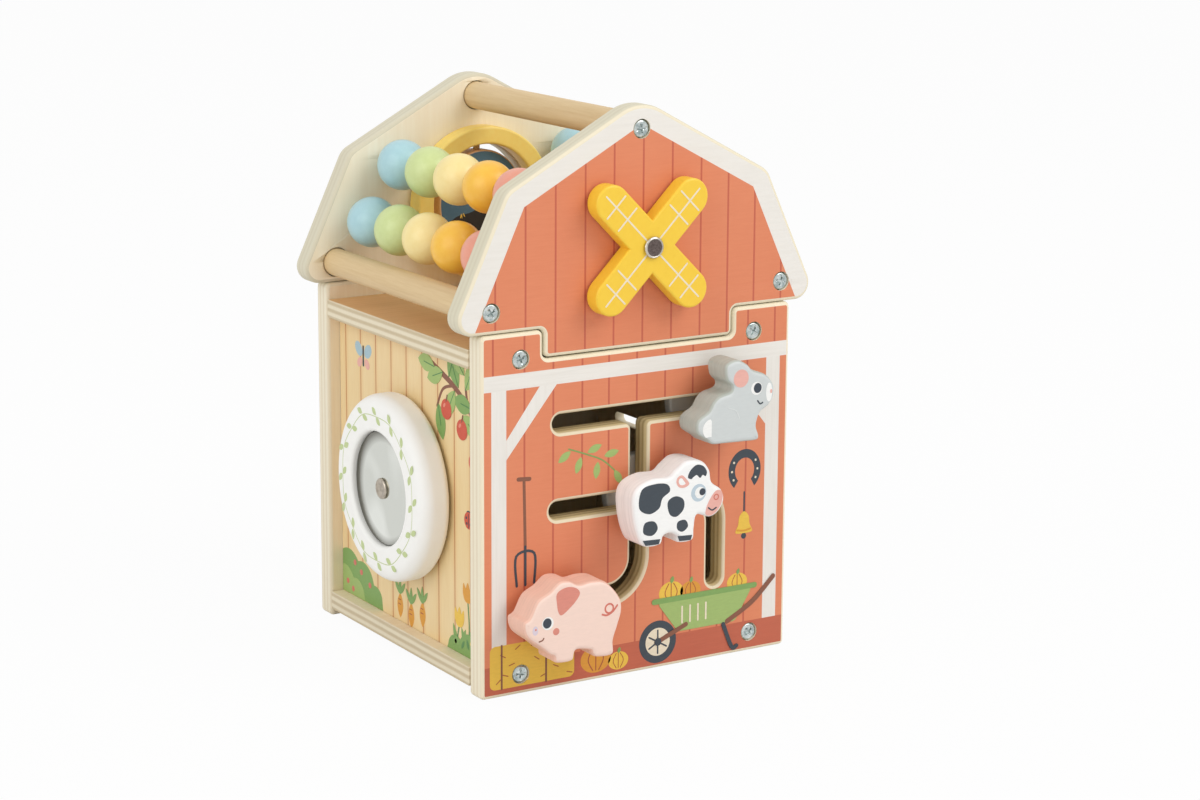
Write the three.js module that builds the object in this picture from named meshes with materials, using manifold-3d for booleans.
// Wooden barn activity cube: a plywood box with a maze front, a gambrel roof of two gables
// joined by dowels, bead rods under the roof slopes, a windmill, a turning mirror wheel
// and a flip disc in the rear gable window.
// Millimetres, +Z up, front face towards -Y, origin on the floor under the middle.
import * as THREE from 'three';
import { mergeVertices } from 'three/addons/utils/BufferGeometryUtils.js';
import Module from 'manifold-3d';

const wasm = await Module();
wasm.setup();

// Whole toy
const bodyWidth = 150;
const bodyDepth = 145;
const bodyHeight = 150.5;
const gableRise = 87.5;
const eaveOverhang = 10;
const seatGap = 0.25;
const runningGap = 0.3;
const cutOverrun = 2;

// Front and back plates
const plateThickness = 10;
const plateEdgeRound = 1.75;
const plateCornerRadius = 2;
const earCornerRadius = 2.5;
const earWidth = 29;
const notchDepth = 12;

// Gables
const ridgeRadius = 20;
const ridgeSlopeDegrees = 28.2;
const shoulderInset = 22.25;
const shoulderRadius = 9;
const eaveRadius = 7;
const tongueGap = 0.5;

// Deck, floor board and side panels
const boardThickness = 8;
const floorBoardLift = 3.5;
const deckDrop = 7;
const sidePanelThickness = 5;
const sidePanelInset = 6;
const sideGrooveDepth = 2;

// Dowels and bead rods
const dowelRadius = 6;
const dowelSocketDepth = 2.5;
const ridgeDowelDrop = 9.75;
const eaveDowelInset = 15;
const eaveDowelRise = 9;
const rodRadius = 3;
const rodSocketDepth = 5;
const upperRodShares = [0.515, 0.586];
const lowerRodShares = [0.691, 0.314];

// Beads
const beadPlay = 3;
const beadMouthWidth = 0.8;

// Maze slots and the pieces that travel in them
const slotWidth = 7.5;
const slotTurnRadius = 15;
const slotJunctionRadius = 2.5;
const topRowDrop = 27.5;
const middleRowShare = 0.52;
const bottomRowHeight = 35.5;
const topRowLeftMargin = 37.5;
const lowRowsLeftMargin = 36;
const rowsRightMargin = 36.75;
const animalThickness = 15;
const animalStandoff = 5;
const animalEdgeRoundShare = 0.057;
const animalGap = 1.25;
const pegPlay = 0.5;
const pegHoleDepth = 7;
const retainerRadius = 16.5;
const retainerThickness = 5;
const retainerEdgeRound = 1;

// Windmill
const windmillRiseShare = 0.3515;
const sailArmLength = 26.75;
const sailHalfWidth = 7.75;
const sailThickness = 8;
const sailStandoff = 1;
const sailEdgeRound = 1;

// Rivets
const rivetCapRadius = 4.5;
const rivetCapThickness = 1.2;
const rivetShankRadius = 2.5;
const rivetTailRadius = 4;
const rivetTailThickness = 1.2;

// Mirror wheel on the left side
const wheelRadius = 40;
const wheelThickness = 14;
const wheelEdgeRound = 3.5;
const wheelStandoff = 1;
const mirrorRadius = 24.2;
const mirrorThickness = 2;
const mirrorSink = 3;

// Window ring and flip disc on the rear gable
const windowRingWidth = 8;
const windowRingClearance = 3.25;
const windowRingThickness = 9;
const windowRingEdgeRound = 1.2;
const flipDiscPlay = 3;
const flipDiscThickness = 8;
const flipDiscEdgeRound = 1;
const flipDiscTurnDegrees = 7;
const flipPinRadius = 1.5;
const flipPinSeat = 5;

// Track slot in the right side panel
const sideSlotHeight = 5;
const sideSlotLength = 94;
const sideSlotRise = 66.5;

// Screws in the front plates
const screwHeadRadius = 3.75;
const screwHeadThickness = 2.4;
const screwHeadRound = 0.8;
const screwShankRadius = 1.75;
const screwLength = 24;
const counterboreRadius = 4.05;
const counterboreDepth = 3;
const screwInset = 18.5;
const floorScrewRise = 1;

// Facet counts
const facetGap = 0.2;
const roundSides = 12;
const smallRoundSides = 8;
const wideRoundSides = 32;
const edgeSteps = 2;
const beadSteps = 5;
const outlineSteps = 48;

// Places worked out from the sizes above
const frontInner = plateThickness - bodyDepth / 2;
const clearSpan = bodyDepth - 2 * plateThickness;
const ridgeHeight = bodyHeight + gableRise;
const gableHalf = bodyWidth / 2 + eaveOverhang;
const shoulderHalfWidth = gableHalf - shoulderInset;
const notchHalfWidth = bodyWidth / 2 - earWidth;
const notchFloor = bodyHeight - notchDepth;
const deckTop = bodyHeight - deckDrop;
const floorBoardTop = floorBoardLift + boardThickness;
const sideOuter = bodyWidth / 2 - sidePanelInset;
const sideMiddle = sideOuter - sidePanelThickness / 2;
const windmillHeight = bodyHeight + gableRise * windmillRiseShare;
const ridgeDowelHeight = ridgeHeight - ridgeDowelDrop;
const eaveDowelHeight = bodyHeight + eaveDowelRise;
const eaveDowelOffset = gableHalf - eaveDowelInset;
const wheelHeight = (floorBoardTop + deckTop - boardThickness) / 2;
const overallReach = animalStandoff + animalThickness;
const screwOffset = bodyWidth / 2 - screwInset;
const floorScrewHeight = floorBoardLift + boardThickness / 2 + floorScrewRise;
const topRowHeight = notchFloor - topRowDrop;
const middleRowHeight = bottomRowHeight + (topRowHeight - bottomRowHeight) * middleRowShare;
const topRowLeft = bodyWidth / 2 - topRowLeftMargin;
const lowRowsLeft = bodyWidth / 2 - lowRowsLeftMargin;
const rowsRight = bodyWidth / 2 - rowsRightMargin;
const animalHeight = topRowHeight - middleRowHeight - animalGap;
const animalEdgeRound = animalHeight * animalEdgeRoundShare;
const pegRadius = slotWidth / 2 - pegPlay;

// The five bead colours of a rod, front to back, which share its free length
const beadColours = ['coral', 'orange', 'cream', 'green', 'blue'];
const beadPitch = clearSpan / beadColours.length;
const beadRadius = (beadPitch - beadPlay) / 2;

// The window ring fits between the upper beads and above the deck
const upperRodSide = gableHalf * upperRodShares[0];
const upperRodAbove = gableRise * (upperRodShares[1] - windmillRiseShare);
const windowRingRadius = Math.min(
  Math.hypot(upperRodSide, upperRodAbove) - beadRadius,
  windmillHeight - deckTop,
) - windowRingClearance;
const windowRadius = windowRingRadius - windowRingWidth;
const flipDiscRadius = windowRadius - flipDiscPlay;

// Finishes
const finishes = {
  bareWood: { color: 0xe8dcc0, roughness: 0.6, metalness: 0 },
  printedRed: { color: 0xe0906a, roughness: 0.5, metalness: 0 },
  printedWood: { color: 0xe0c088, roughness: 0.55, metalness: 0 },
  deckWood: { color: 0xb08a5c, roughness: 0.6, metalness: 0 },
  dowelWood: { color: 0xdec496, roughness: 0.55, metalness: 0 },
  yellow: { color: 0xf7d03c, roughness: 0.4, metalness: 0 },
  ringYellow: { color: 0xe8c860, roughness: 0.45, metalness: 0 },
  blue: { color: 0xa5cdd7, roughness: 0.35, metalness: 0 },
  green: { color: 0xc8da96, roughness: 0.35, metalness: 0 },
  cream: { color: 0xf0dc96, roughness: 0.35, metalness: 0 },
  orange: { color: 0xf0b955, roughness: 0.35, metalness: 0 },
  coral: { color: 0xe69678, roughness: 0.35, metalness: 0 },
  white: { color: 0xf0eeea, roughness: 0.4, metalness: 0 },
  grey: { color: 0xcdd2d0, roughness: 0.45, metalness: 0 },
  pink: { color: 0xf6d8c8, roughness: 0.45, metalness: 0 },
  night: { color: 0x33485a, roughness: 0.5, metalness: 0 },
  mirror: { color: 0xd7dad8, roughness: 0.05, metalness: 0.9 },
  steel: { color: 0xb4aca4, roughness: 0.3, metalness: 0.9 },
  zinc: { color: 0xb8bec0, roughness: 0.35, metalness: 0.85 },
  retainer: { color: 0xd0d0cc, roughness: 0.5, metalness: 0 },
};

const toy = new THREE.Group();
toy.name = 'barn_activity_cube';
const body = new THREE.Group();
body.position.y = overallReach / 2;
toy.add(body);

// Adds a named piece to the body at a place.
function addPiece(name, geometry, finish, x = 0, y = 0, z = 0) {
  const mesh = new THREE.Mesh(geometry, new THREE.MeshStandardMaterial(finishes[finish]));
  mesh.name = name;
  mesh.position.set(x, y, z);
  body.add(mesh);
}

// Turns a closed geometry into a solid for joining and cutting.
function solidOf(geometry) {
  const bare = geometry.clone();
  bare.deleteAttribute('normal');
  bare.deleteAttribute('uv');
  const merged = mergeVertices(bare);
  return new wasm.Manifold(new wasm.Mesh({
    numProp: 3,
    vertProperties: Float32Array.from(merged.attributes.position.array),
    triVerts: Uint32Array.from(merged.index.array),
  }));
}

// Turns a solid back into a geometry with flat faces.
function geometryOf(solid) {
  const mesh = solid.getMesh();
  const geometry = new THREE.BufferGeometry();
  geometry.setAttribute('position', new THREE.BufferAttribute(Float32Array.from(mesh.vertProperties), 3));
  geometry.setIndex(new THREE.BufferAttribute(Uint32Array.from(mesh.triVerts), 1));
  const flat = geometry.toNonIndexed();
  flat.computeVertexNormals();
  return flat;
}

// Cuts a list of closed geometries out of one geometry.
function cutFrom(geometry, cutters) {
  let solid = solidOf(geometry);
  for (const cutter of cutters) {
    solid = solid.subtract(solidOf(cutter));
  }
  return geometryOf(solid);
}

// Points along an arc, close enough together to keep its facets within the facet gap.
function arcPoints(x, y, radius, from, to) {
  const count = Math.ceil(Math.abs(to - from) / (2 * Math.acos(1 - facetGap / radius)));
  return Array.from({ length: count + 1 }, (_, i) => {
    const angle = from + ((to - from) * i) / count;
    return new THREE.Vector2(x + radius * Math.cos(angle), y + radius * Math.sin(angle));
  });
}

// A round hole.
function circlePath(x, y, radius) {
  return new THREE.Path(arcPoints(x, y, radius, 0, -2 * Math.PI).slice(1));
}

// A closed polygon whose corners are rounded, each corner being [x, y, radius].
function roundedOutline(corners) {
  const points = corners.flatMap(([x, y, radius], i) => {
    const here = new THREE.Vector2(x, y);
    const [before, after] = [corners.at(i - 1), corners[(i + 1) % corners.length]]
      .map((corner) => new THREE.Vector2(corner[0], corner[1]).sub(here).normalize());
    const halfAngle = Math.acos(before.dot(after)) / 2;
    const start = here.clone().addScaledVector(before, radius / Math.tan(halfAngle));
    const middle = before.clone().add(after).normalize();
    const centre = here.clone().addScaledVector(middle, radius / Math.sin(halfAngle));
    const from = start.sub(centre).angle();
    const sweep = (Math.PI - 2 * halfAngle) * Math.sign(after.cross(before));
    return arcPoints(centre.x, centre.y, radius, from, from + sweep);
  });
  return new THREE.Shape(points);
}

// An upright board: the outline is seen from the front, and the front face looks towards -Y.
function uprightBoard(shape, thickness, edgeRound) {
  const geometry = new THREE.ExtrudeGeometry(shape, {
    depth: thickness - 2 * edgeRound,
    bevelEnabled: true,
    bevelThickness: edgeRound,
    bevelSize: edgeRound,
    bevelOffset: -edgeRound,
    bevelSegments: edgeSteps,
  });
  geometry.translate(0, 0, edgeRound - thickness / 2);
  geometry.rotateX(Math.PI / 2);
  return geometry;
}

// A round bar along Y between two depths.
function barAlongDepth(radius, start, end, x, z, sides = roundSides) {
  const geometry = new THREE.CylinderGeometry(radius, radius, end - start, sides);
  geometry.translate(x, (start + end) / 2, z);
  return geometry;
}

// A block between two corners.
function block(low, high) {
  const size = high.map((value, axis) => value - low[axis]);
  const geometry = new THREE.BoxGeometry(...size);
  geometry.translate(...low.map((value, axis) => value + size[axis] / 2));
  return geometry;
}

// A turned piece along Y: the profile lists [radius, place along the axis] and closes on itself.
function turned(profile, sides = roundSides) {
  const points = profile.map(([radius, along]) => new THREE.Vector2(radius, along));
  return new THREE.LatheGeometry(points, sides);
}

// Points of a rounded profile corner, from one angle to another in degrees.
function cornerPoints(radiusCentre, alongCentre, round, from, to, steps = edgeSteps) {
  const points = [];
  for (let i = 0; i <= steps; i += 1) {
    const angle = THREE.MathUtils.degToRad(from + ((to - from) * i) / steps);
    points.push([radiusCentre + round * Math.cos(angle), alongCentre + round * Math.sin(angle)]);
  }
  return points;
}

// Screw places on the front and back plates, as [x, z].
const panelScrews = [
  [-screwOffset, deckTop - boardThickness / 2],
  [screwOffset, deckTop - boardThickness / 2],
  [-screwOffset, floorScrewHeight],
  [screwOffset, floorScrewHeight],
];
const gableScrews = [
  [0, ridgeDowelHeight],
  [-eaveDowelOffset, eaveDowelHeight],
  [eaveDowelOffset, eaveDowelHeight],
];

// Counterbore and shank hole of each screw, cut into a plate whose outer face looks towards side.
function screwHoles(places, side) {
  const outer = side * (plateThickness / 2);
  const floor = outer - side * counterboreDepth;
  return places.flatMap(([x, z]) => [
    barAlongDepth(counterboreRadius, Math.min(floor, outer + side * cutOverrun),
      Math.max(floor, outer + side * cutOverrun), x, z),
    barAlongDepth(screwShankRadius + runningGap, -plateThickness, plateThickness, x, z, smallRoundSides),
  ]);
}

// Pilot holes for the screws at both ends of something that spans the clear depth.
function pilotHoles(places) {
  const reach = screwLength - (plateThickness - counterboreDepth) + cutOverrun;
  const end = bodyDepth / 2;
  return places.flatMap(([x, z]) => [
    barAlongDepth(screwShankRadius + runningGap, -end, reach - clearSpan / 2, x, z, smallRoundSides),
    barAlongDepth(screwShankRadius + runningGap, clearSpan / 2 - reach, end, x, z, smallRoundSides),
  ]);
}

// Front and back panel outline: a square board with a wide notch between two ears.
function panelOutline() {
  const half = bodyWidth / 2;
  return roundedOutline([
    [-half, 0, plateCornerRadius],
    [half, 0, plateCornerRadius],
    [half, bodyHeight, earCornerRadius],
    [notchHalfWidth, bodyHeight, earCornerRadius],
    [notchHalfWidth, notchFloor, earCornerRadius],
    [-notchHalfWidth, notchFloor, earCornerRadius],
    [-notchHalfWidth, bodyHeight, earCornerRadius],
    [-half, bodyHeight, earCornerRadius],
  ]);
}

// The maze: two rows and a crossing slot that turn down through quarter bends.
function mazeOutline() {
  const half = slotWidth / 2;
  const junction = slotJunctionRadius;
  const corner = half + junction;
  const turn = slotTurnRadius;
  const arc = (x, y, radius, from, to) => arcPoints(x, y, radius, (from * Math.PI) / 2, (to * Math.PI) / 2);
  return new THREE.Path([
    ...arc(rowsRight, topRowHeight, half, 1, -1),
    ...arc(corner, topRowHeight - corner, junction, 1, 2),
    ...arc(corner, middleRowHeight + corner, junction, 2, 3),
    ...arc(rowsRight - turn, middleRowHeight - turn, turn + half, 1, 0),
    ...arc(rowsRight, bottomRowHeight, half, 0, -2),
    ...arc(rowsRight - turn, middleRowHeight - turn, turn - half, 0, 1),
    ...arc(corner, middleRowHeight - corner, junction, 1, 2),
    ...arc(-turn, bottomRowHeight + turn, turn + half, 0, -1),
    ...arc(-lowRowsLeft, bottomRowHeight, half, -1, -3),
    ...arc(-turn, bottomRowHeight + turn, turn - half, -1, 0),
    ...arc(-corner, middleRowHeight - corner, junction, 0, 1),
    ...arc(-lowRowsLeft, middleRowHeight, half, -1, -3),
    ...arc(-corner, middleRowHeight + corner, junction, -1, 0),
    ...arc(-corner, topRowHeight - corner, junction, 0, 1),
    ...arc(-topRowLeft, topRowHeight, half, -1, -3),
  ]);
}

// Gambrel gable outline with a tongue that drops between the ears of the panel.
function gableOutline() {
  const slope = THREE.MathUtils.degToRad(ridgeSlopeDegrees);
  const ridgeTip = ridgeHeight + ridgeRadius * (1 / Math.cos(slope) - 1);
  const shoulder = ridgeTip - shoulderHalfWidth * Math.tan(slope);
  const foot = bodyHeight + seatGap;
  const eaveX = gableHalf - eaveRadius;
  const eaveZ = foot + eaveRadius;
  const distance = Math.hypot(eaveX - shoulderHalfWidth, eaveZ - shoulder);
  const heading = Math.atan2(eaveZ - shoulder, eaveX - shoulderHalfWidth) + Math.asin(eaveRadius / distance);
  const eaveTip = shoulderHalfWidth + (foot - shoulder) / Math.tan(heading);
  const tongueHalf = notchHalfWidth - tongueGap;
  const tongueFoot = notchFloor + tongueGap;
  return roundedOutline([
    [0, ridgeTip, ridgeRadius],
    [-shoulderHalfWidth, shoulder, shoulderRadius],
    [-eaveTip, foot, eaveRadius],
    [-tongueHalf, foot, earCornerRadius],
    [-tongueHalf, tongueFoot, earCornerRadius],
    [tongueHalf, tongueFoot, earCornerRadius],
    [tongueHalf, foot, earCornerRadius],
    [eaveTip, foot, eaveRadius],
    [shoulderHalfWidth, shoulder, shoulderRadius],
  ]);
}

// Blind sockets for the dowels and bead rods, on the inner face of a gable.
function gableSockets(side) {
  const inner = -side * (plateThickness / 2);
  const socket = (radius, depth, x, z) => {
    const floor = inner + side * depth;
    const mouth = inner - side * cutOverrun;
    return barAlongDepth(radius, Math.min(floor, mouth), Math.max(floor, mouth), x, z);
  };
  const dowels = gableScrews.map(([x, z]) => socket(dowelRadius + runningGap, dowelSocketDepth, x, z));
  const rods = rodPlaces().map(([x, z]) => socket(rodRadius + runningGap, rodSocketDepth, x, z));
  return [...dowels, ...rods];
}

// Places of the four bead rods, as [x, z, name].
function rodPlaces() {
  const place = (side, [across, up], name) => [side * gableHalf * across, bodyHeight + gableRise * up, name];
  return [
    place(-1, upperRodShares, 'left_upper'),
    place(-1, lowerRodShares, 'left_lower'),
    place(1, upperRodShares, 'right_upper'),
    place(1, lowerRodShares, 'right_lower'),
  ];
}

function addPanels() {
  const depthPlace = (bodyDepth - plateThickness) / 2;
  const front = panelOutline();
  front.holes.push(mazeOutline());
  const frontBoard = uprightBoard(front, plateThickness, plateEdgeRound);
  addPiece('front_panel', cutFrom(frontBoard, screwHoles(panelScrews, -1)), 'printedRed', 0, -depthPlace);
  const backBoard = uprightBoard(panelOutline(), plateThickness, plateEdgeRound);
  addPiece('back_panel', cutFrom(backBoard, screwHoles(panelScrews, 1)), 'printedRed', 0, depthPlace);
}

function addGables() {
  const depthPlace = (bodyDepth - plateThickness) / 2;
  const frontBoard = uprightBoard(gableOutline(), plateThickness, plateEdgeRound);
  const boreRadius = rivetShankRadius + runningGap;
  const rivetHole = barAlongDepth(boreRadius, -plateThickness, plateThickness, 0, windmillHeight);
  const frontCuts = [...screwHoles(gableScrews, -1), ...gableSockets(-1), rivetHole];
  addPiece('front_gable', cutFrom(frontBoard, frontCuts), 'printedRed', 0, -depthPlace);

  const rear = gableOutline();
  rear.holes.push(circlePath(0, windmillHeight, windowRadius));
  const rearBoard = uprightBoard(rear, plateThickness, plateEdgeRound);
  const rearCuts = [...screwHoles(gableScrews, 1), ...gableSockets(1), flipPinGroove(-plateThickness / 2)];
  addPiece('back_gable', cutFrom(rearBoard, rearCuts), 'bareWood', 0, depthPlace);
}

// Upright groove that holds the flip disc's pin, centred on a depth.
function flipPinGroove(depth) {
  const reach = windowRadius + flipPinSeat + seatGap;
  const radius = flipPinRadius + runningGap;
  const groove = new THREE.CylinderGeometry(radius, radius, 2 * reach, smallRoundSides);
  groove.rotateX(Math.PI / 2);
  groove.translate(0, depth, windmillHeight);
  return groove;
}

// Deck and floor board, grooved for the side panels and drilled for the screws.
function addBoards() {
  const half = bodyWidth / 2;
  const depth = clearSpan / 2 - seatGap;
  const groove = (side, low, high) => {
    const near = side * (sideMiddle - sidePanelThickness / 2 - seatGap);
    const far = side * (sideMiddle + sidePanelThickness / 2 + seatGap);
    return block([Math.min(near, far), -bodyDepth, low], [Math.max(near, far), bodyDepth, high]);
  };
  const deckUnder = deckTop - boardThickness;
  const deckCuts = [-1, 1].map((side) => groove(side, deckUnder - cutOverrun, deckUnder + sideGrooveDepth));
  const deck = block([-half, -depth, deckUnder], [half, depth, deckTop]);
  addPiece('top_deck', cutFrom(deck, [...deckCuts, ...pilotHoles(panelScrews.slice(0, 2))]), 'deckWood');
  const grooveFloor = floorBoardTop - sideGrooveDepth;
  const floorCuts = [-1, 1].map((side) => groove(side, grooveFloor, floorBoardTop + cutOverrun));
  const floorBoard = block([-half, -depth, floorBoardLift], [half, depth, floorBoardTop]);
  const floorHoles = pilotHoles(panelScrews.slice(2));
  addPiece('bottom_board', cutFrom(floorBoard, [...floorCuts, ...floorHoles]), 'bareWood');
}

// Outline of a side panel, seen along X with depth as x and height as y.
function sidePanelOutline() {
  const half = clearSpan / 2 - seatGap;
  const low = floorBoardTop - sideGrooveDepth + seatGap;
  const high = deckTop - boardThickness + sideGrooveDepth - seatGap;
  const shape = new THREE.Shape();
  shape.moveTo(-half, low);
  shape.lineTo(half, low);
  shape.lineTo(half, high);
  shape.lineTo(-half, high);
  shape.closePath();
  return shape;
}

// Stands an outline of depth and height up as a board across X.
function crossBoard(shape, thickness) {
  const geometry = new THREE.ExtrudeGeometry(shape, { depth: thickness, bevelEnabled: false });
  geometry.translate(0, 0, -thickness / 2);
  geometry.rotateX(Math.PI / 2);
  geometry.rotateZ(Math.PI / 2);
  return geometry;
}

function addSidePanels() {
  const left = sidePanelOutline();
  left.holes.push(circlePath(0, wheelHeight, rivetShankRadius + runningGap));
  addPiece('left_side_panel', crossBoard(left, sidePanelThickness), 'printedWood', -sideMiddle);

  const right = sidePanelOutline();
  const half = sideSlotHeight / 2;
  const end = sideSlotLength / 2 - half;
  const height = floorBoardTop + sideSlotRise;
  right.holes.push(new THREE.Path([
    ...arcPoints(end, height, half, Math.PI / 2, -Math.PI / 2),
    ...arcPoints(-end, height, half, -Math.PI / 2, -1.5 * Math.PI),
  ]));
  addPiece('right_side_panel', crossBoard(right, sidePanelThickness), 'printedWood', sideMiddle);
}

// The ridge dowel and both eave dowels, drilled for the gable screws.
function addDowels() {
  const half = clearSpan / 2 + dowelSocketDepth - seatGap;
  const names = ['ridge_dowel', 'left_eave_dowel', 'right_eave_dowel'];
  gableScrews.forEach(([x, z], i) => {
    const bar = barAlongDepth(dowelRadius, -half, half, x, z);
    addPiece(names[i], cutFrom(bar, pilotHoles([[x, z]])), 'dowelWood');
  });
}

// One round bead with flats at the mouths of its bore.
function beadGeometry() {
  const bore = rodRadius + runningGap;
  const mouth = bore + beadMouthWidth;
  const tilt = THREE.MathUtils.radToDeg(Math.acos(mouth / beadRadius));
  const half = Math.sqrt(beadRadius ** 2 - mouth ** 2);
  const skin = cornerPoints(0, 0, beadRadius, -tilt, tilt, beadSteps);
  return turned([[bore, -half], ...skin, [bore, half], [bore, -half]]);
}

// Bead rods with their beads spread evenly between the gables.
function addBeadRods() {
  const half = clearSpan / 2 + rodSocketDepth - seatGap;
  for (const [x, z, name] of rodPlaces()) {
    addPiece(`${name}_bead_rod`, barAlongDepth(rodRadius, -half, half, x, z), 'dowelWood');
    beadColours.forEach((colour, i) => {
      const depth = (i + 0.5) * beadPitch - clearSpan / 2;
      addPiece(`${name}_bead_${colour}`, beadGeometry(), colour, x, depth, z);
    });
  }
}

// Windmill sails: a cross of two round-ended bars.
function sailsOutline() {
  const valley = sailHalfWidth * Math.SQRT2;
  const points = [1, 3, 5, 7].flatMap((eighth) => {
    const heading = (eighth * Math.PI) / 4;
    const tip = new THREE.Vector2(sailArmLength, 0).rotateAround(new THREE.Vector2(), heading);
    const notch = new THREE.Vector2(valley, 0).rotateAround(new THREE.Vector2(), heading + Math.PI / 4);
    return [...arcPoints(tip.x, tip.y, sailHalfWidth, heading - Math.PI / 2, heading + Math.PI / 2), notch];
  });
  return new THREE.Shape(points);
}

// Rivet along Y with its cap towards -Y: cap, shank and spread tail, with a seat gap at each end.
function rivetGeometry(grip) {
  const cap = rivetCapRadius - rivetCapThickness / 2;
  return turned([
    [0, -rivetCapThickness],
    ...cornerPoints(cap, -rivetCapThickness / 2, rivetCapThickness / 2, -90, 90),
    [rivetShankRadius, 0],
    [rivetShankRadius, grip],
    [rivetTailRadius, grip],
    [rivetTailRadius, grip + rivetTailThickness],
    [0, grip + rivetTailThickness],
  ]);
}

function addWindmill() {
  const rear = -bodyDepth / 2 - sailStandoff;
  const sails = uprightBoard(sailsOutline(), sailThickness, sailEdgeRound);
  const hole = barAlongDepth(rivetShankRadius + runningGap, -sailThickness, sailThickness, 0, 0);
  addPiece('windmill_sails', cutFrom(sails, [hole]), 'yellow', 0, rear - sailThickness / 2, windmillHeight);
  const capSeat = rear - sailThickness - seatGap;
  const grip = frontInner + seatGap - capSeat;
  addPiece('windmill_rivet', rivetGeometry(grip), 'steel', 0, capSeat, windmillHeight);
}

// Lays a piece turned along Y down along X, with its -Y end towards -X.
function towardsLeft(geometry) {
  geometry.rotateZ(-Math.PI / 2);
  return geometry;
}

// Mirror wheel: a thick disc with a sunk round mirror, turning on a rivet.
function addMirrorWheel() {
  const round = wheelEdgeRound;
  const sinkDepth = mirrorSink + mirrorThickness;
  const bore = rivetShankRadius + runningGap;
  const recess = mirrorRadius + seatGap;
  const wheel = turned([
    [bore, -wheelThickness + sinkDepth],
    [recess, -wheelThickness + sinkDepth],
    [recess, -wheelThickness],
    ...cornerPoints(wheelRadius - round, round - wheelThickness, round, -90, 0),
    ...cornerPoints(wheelRadius - round, -round, round, 0, 90),
    [bore, 0],
    [bore, -wheelThickness + sinkDepth],
  ], wideRoundSides);
  const wheelBack = -sideOuter - wheelStandoff;
  addPiece('mirror_wheel', towardsLeft(wheel), 'white', wheelBack, 0, wheelHeight);
  const glass = turned([
    [bore, -mirrorThickness],
    [mirrorRadius, -mirrorThickness],
    [mirrorRadius, 0],
    [bore, 0],
    [bore, -mirrorThickness],
  ], wideRoundSides);
  const glassBack = wheelBack - wheelThickness + sinkDepth - seatGap;
  addPiece('mirror', towardsLeft(glass), 'mirror', glassBack, 0, wheelHeight);
  const capSeat = glassBack - mirrorThickness - seatGap;
  const grip = -sideOuter + sidePanelThickness + seatGap - capSeat;
  addPiece('mirror_rivet', towardsLeft(rivetGeometry(grip)), 'steel', capSeat, 0, wheelHeight);
}

// Ring glued round the rear gable's window, with the flip disc on its upright pin.
function addFlipWindow() {
  const inner = clearSpan / 2;
  const round = windowRingEdgeRound;
  const outside = windowRingRadius;
  const front = inner - windowRingThickness;
  const ring = turned([
    [windowRadius, inner - seatGap],
    ...cornerPoints(windowRadius + round, front + round, round, 180, 270),
    ...cornerPoints(outside - round, front + round, round, 270, 360),
    [outside, inner - seatGap],
    [windowRadius, inner - seatGap],
  ], wideRoundSides);
  ring.translate(0, 0, windmillHeight);
  addPiece('window_ring', cutFrom(ring, [flipPinGroove(inner)]), 'ringYellow');

  const edge = flipDiscEdgeRound;
  const half = flipDiscThickness / 2;
  const disc = turned([
    [0, -half],
    ...cornerPoints(flipDiscRadius - edge, edge - half, edge, -90, 0),
    ...cornerPoints(flipDiscRadius - edge, half - edge, edge, 0, 90),
    [0, half],
  ], wideRoundSides);
  const bore = new THREE.CylinderGeometry(flipPinRadius + seatGap, flipPinRadius + seatGap,
    2 * (flipDiscRadius + cutOverrun), smallRoundSides);
  bore.rotateX(Math.PI / 2);
  const flipDisc = cutFrom(disc, [bore]);
  flipDisc.rotateZ(THREE.MathUtils.degToRad(flipDiscTurnDegrees));
  addPiece('flip_disc', flipDisc, 'night', 0, inner, windmillHeight);

  const pinLength = 2 * (windowRadius + flipPinSeat);
  const pin = new THREE.CylinderGeometry(flipPinRadius, flipPinRadius, pinLength, smallRoundSides);
  pin.rotateX(Math.PI / 2);
  addPiece('flip_disc_pin', pin, 'dowelWood', 0, inner, windmillHeight);
}

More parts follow.
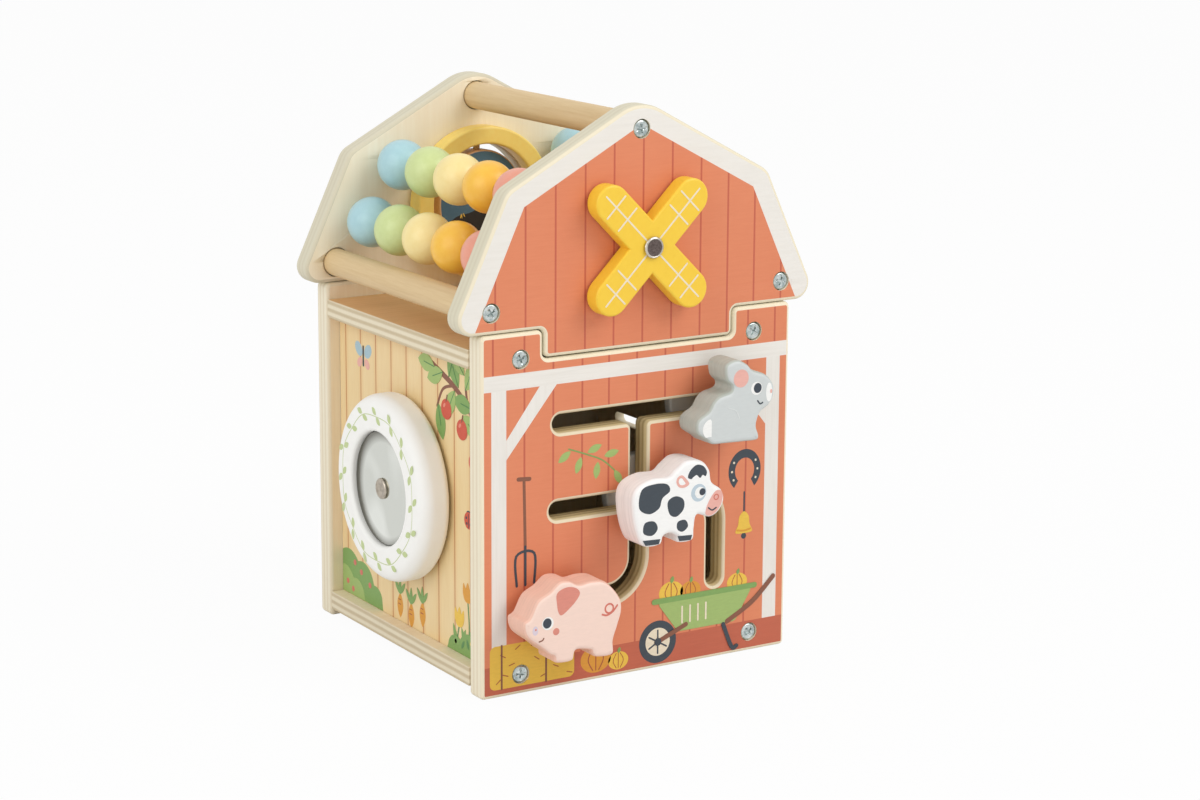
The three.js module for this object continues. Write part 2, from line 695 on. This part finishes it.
// Animals: width as a share of the common height, peg place and outline as shares of width and height.
const animals = [
  {
    name: 'rabbit',
    finish: 'grey',
    widthShare: 1.121,
    slot: [rowsRight, topRowHeight],
    pegShares: [0.585, 0.37],
    outlineShares: [
      [0.135, 0.083], [0.016, 0.184], [0.022, 0.327], [0.155, 0.422], [0.21, 0.516],
      [0.284, 0.582], [0.426, 0.622], [0.444, 0.693], [0.375, 0.782], [0.368, 0.945],
      [0.501, 0.997], [0.628, 0.933], [0.707, 0.851], [0.865, 0.783], [0.964, 0.665],
      [0.979, 0.53], [0.919, 0.411], [0.808, 0.329], [0.76, 0.181], [0.792, 0.061],
      [0.77, 0.002], [0.608, 0.002], [0.357, 0.013], [0.212, 0.022],
    ],
  },
  {
    name: 'cow',
    finish: 'white',
    widthShare: 1.286,
    slot: [slotWidth, middleRowHeight],
    pegShares: [0.512, 0.456],
    outlineShares: [
      [0.139, 0.037], [0.067, 0.156], [0.017, 0.386], [0.007, 0.631], [0.069, 0.766],
      [0.219, 0.834], [0.389, 0.832], [0.473, 0.91], [0.589, 0.993], [0.747, 0.966],
      [0.834, 0.849], [0.864, 0.692], [0.97, 0.584], [0.997, 0.456], [0.942, 0.327],
      [0.847, 0.272], [0.706, 0.321], [0.676, 0.176], [0.656, 0.027], [0.501, 0.025],
      [0.479, 0.105], [0.413, 0.15], [0.342, 0.128], [0.302, 0.032],
    ],
  },
  {
    name: 'pig',
    finish: 'pink',
    widthShare: 1.329,
    slot: [-lowRowsLeft, bottomRowHeight],
    pegShares: [0.595, 0.54],
    outlineShares: [
      [0.286, 0.129], [0.186, 0.239], [0.04, 0.399], [0.009, 0.56], [0.069, 0.621],
      [0.148, 0.805], [0.27, 0.893], [0.363, 0.985], [0.464, 0.985], [0.563, 0.925],
      [0.696, 0.938], [0.838, 0.897], [0.976, 0.694], [1, 0.528], [0.961, 0.353],
      [0.917, 0.185], [0.908, 0.015], [0.747, 0.015], [0.697, 0.068], [0.677, 0.112],
      [0.535, 0.142], [0.494, 0.026], [0.337, 0.032], [0.304, 0.128],
    ],
  },
];

// A smooth closed outline through points given as shares of a width and a height, about a peg.
function animalShape({ widthShare, pegShares, outlineShares }) {
  const width = animalHeight * widthShare;
  const place = ([x, z]) => new THREE.Vector3(
    (x - pegShares[0]) * width,
    (z - pegShares[1]) * animalHeight,
    0,
  );
  const curve = new THREE.CatmullRomCurve3(outlineShares.map(place), true, 'catmullrom', 0.5);
  const points = curve.getSpacedPoints(outlineSteps).slice(0, -1);
  return new THREE.Shape(points.map(({ x, y }) => new THREE.Vector2(x, y)));
}

// Peg that joins an animal to its retaining disc through the slot.
function pegGeometry() {
  const tip = seatGap - animalStandoff - pegHoleDepth;
  return barAlongDepth(pegRadius, tip, plateThickness + runningGap + retainerThickness, 0, 0);
}

// Retaining disc that keeps a peg in the slot from behind.
function retainerGeometry() {
  const near = plateThickness + runningGap;
  const far = near + retainerThickness;
  const round = retainerEdgeRound;
  const bore = pegRadius + seatGap;
  return turned([
    [bore, near],
    ...cornerPoints(retainerRadius - round, near + round, round, -90, 0, 1),
    ...cornerPoints(retainerRadius - round, far - round, round, 0, 90, 1),
    [bore, far],
    [bore, near],
  ], wideRoundSides / 2);
}

function addAnimals() {
  const face = -bodyDepth / 2;
  for (const animal of animals) {
    const [x, z] = animal.slot;
    const board = uprightBoard(animalShape(animal), animalThickness, animalEdgeRound);
    const back = animalThickness / 2;
    const hole = barAlongDepth(pegRadius + seatGap, back - pegHoleDepth, back + cutOverrun, 0, 0);
    const middle = face - animalStandoff - animalThickness / 2;
    addPiece(animal.name, cutFrom(board, [hole]), animal.finish, x, middle, z);
    addPiece(`${animal.name}_peg`, pegGeometry(), 'dowelWood', x, face, z);
    addPiece(`${animal.name}_retaining_disc`, retainerGeometry(), 'retainer', x, face, z);
  }
}

// Pan head wood screw along Y with its head towards -Y.
function screwGeometry() {
  return turned([
    [0, -screwHeadThickness],
    [screwHeadRadius - screwHeadRound, -screwHeadThickness],
    [screwHeadRadius, screwHeadRound - screwHeadThickness],
    [screwHeadRadius, 0],
    [screwShankRadius, 0],
    [screwShankRadius, screwLength - screwShankRadius],
    [0, screwLength],
  ]);
}

function addFrontScrews() {
  const seat = -bodyDepth / 2 + counterboreDepth - seatGap;
  const names = ['deck_screw_left', 'deck_screw_right', 'floor_screw_left', 'floor_screw_right',
    'ridge_screw', 'eave_screw_left', 'eave_screw_right'];
  [...panelScrews, ...gableScrews].forEach(([x, z], i) => {
    addPiece(names[i], screwGeometry(), 'zinc', x, seat, z);
  });
}

addPanels();
addGables();
addBoards();
addSidePanels();
addDowels();
addBeadRods();
addWindmill();
addMirrorWheel();
addFlipWindow();
addAnimals();
addFrontScrews();

export default toy;
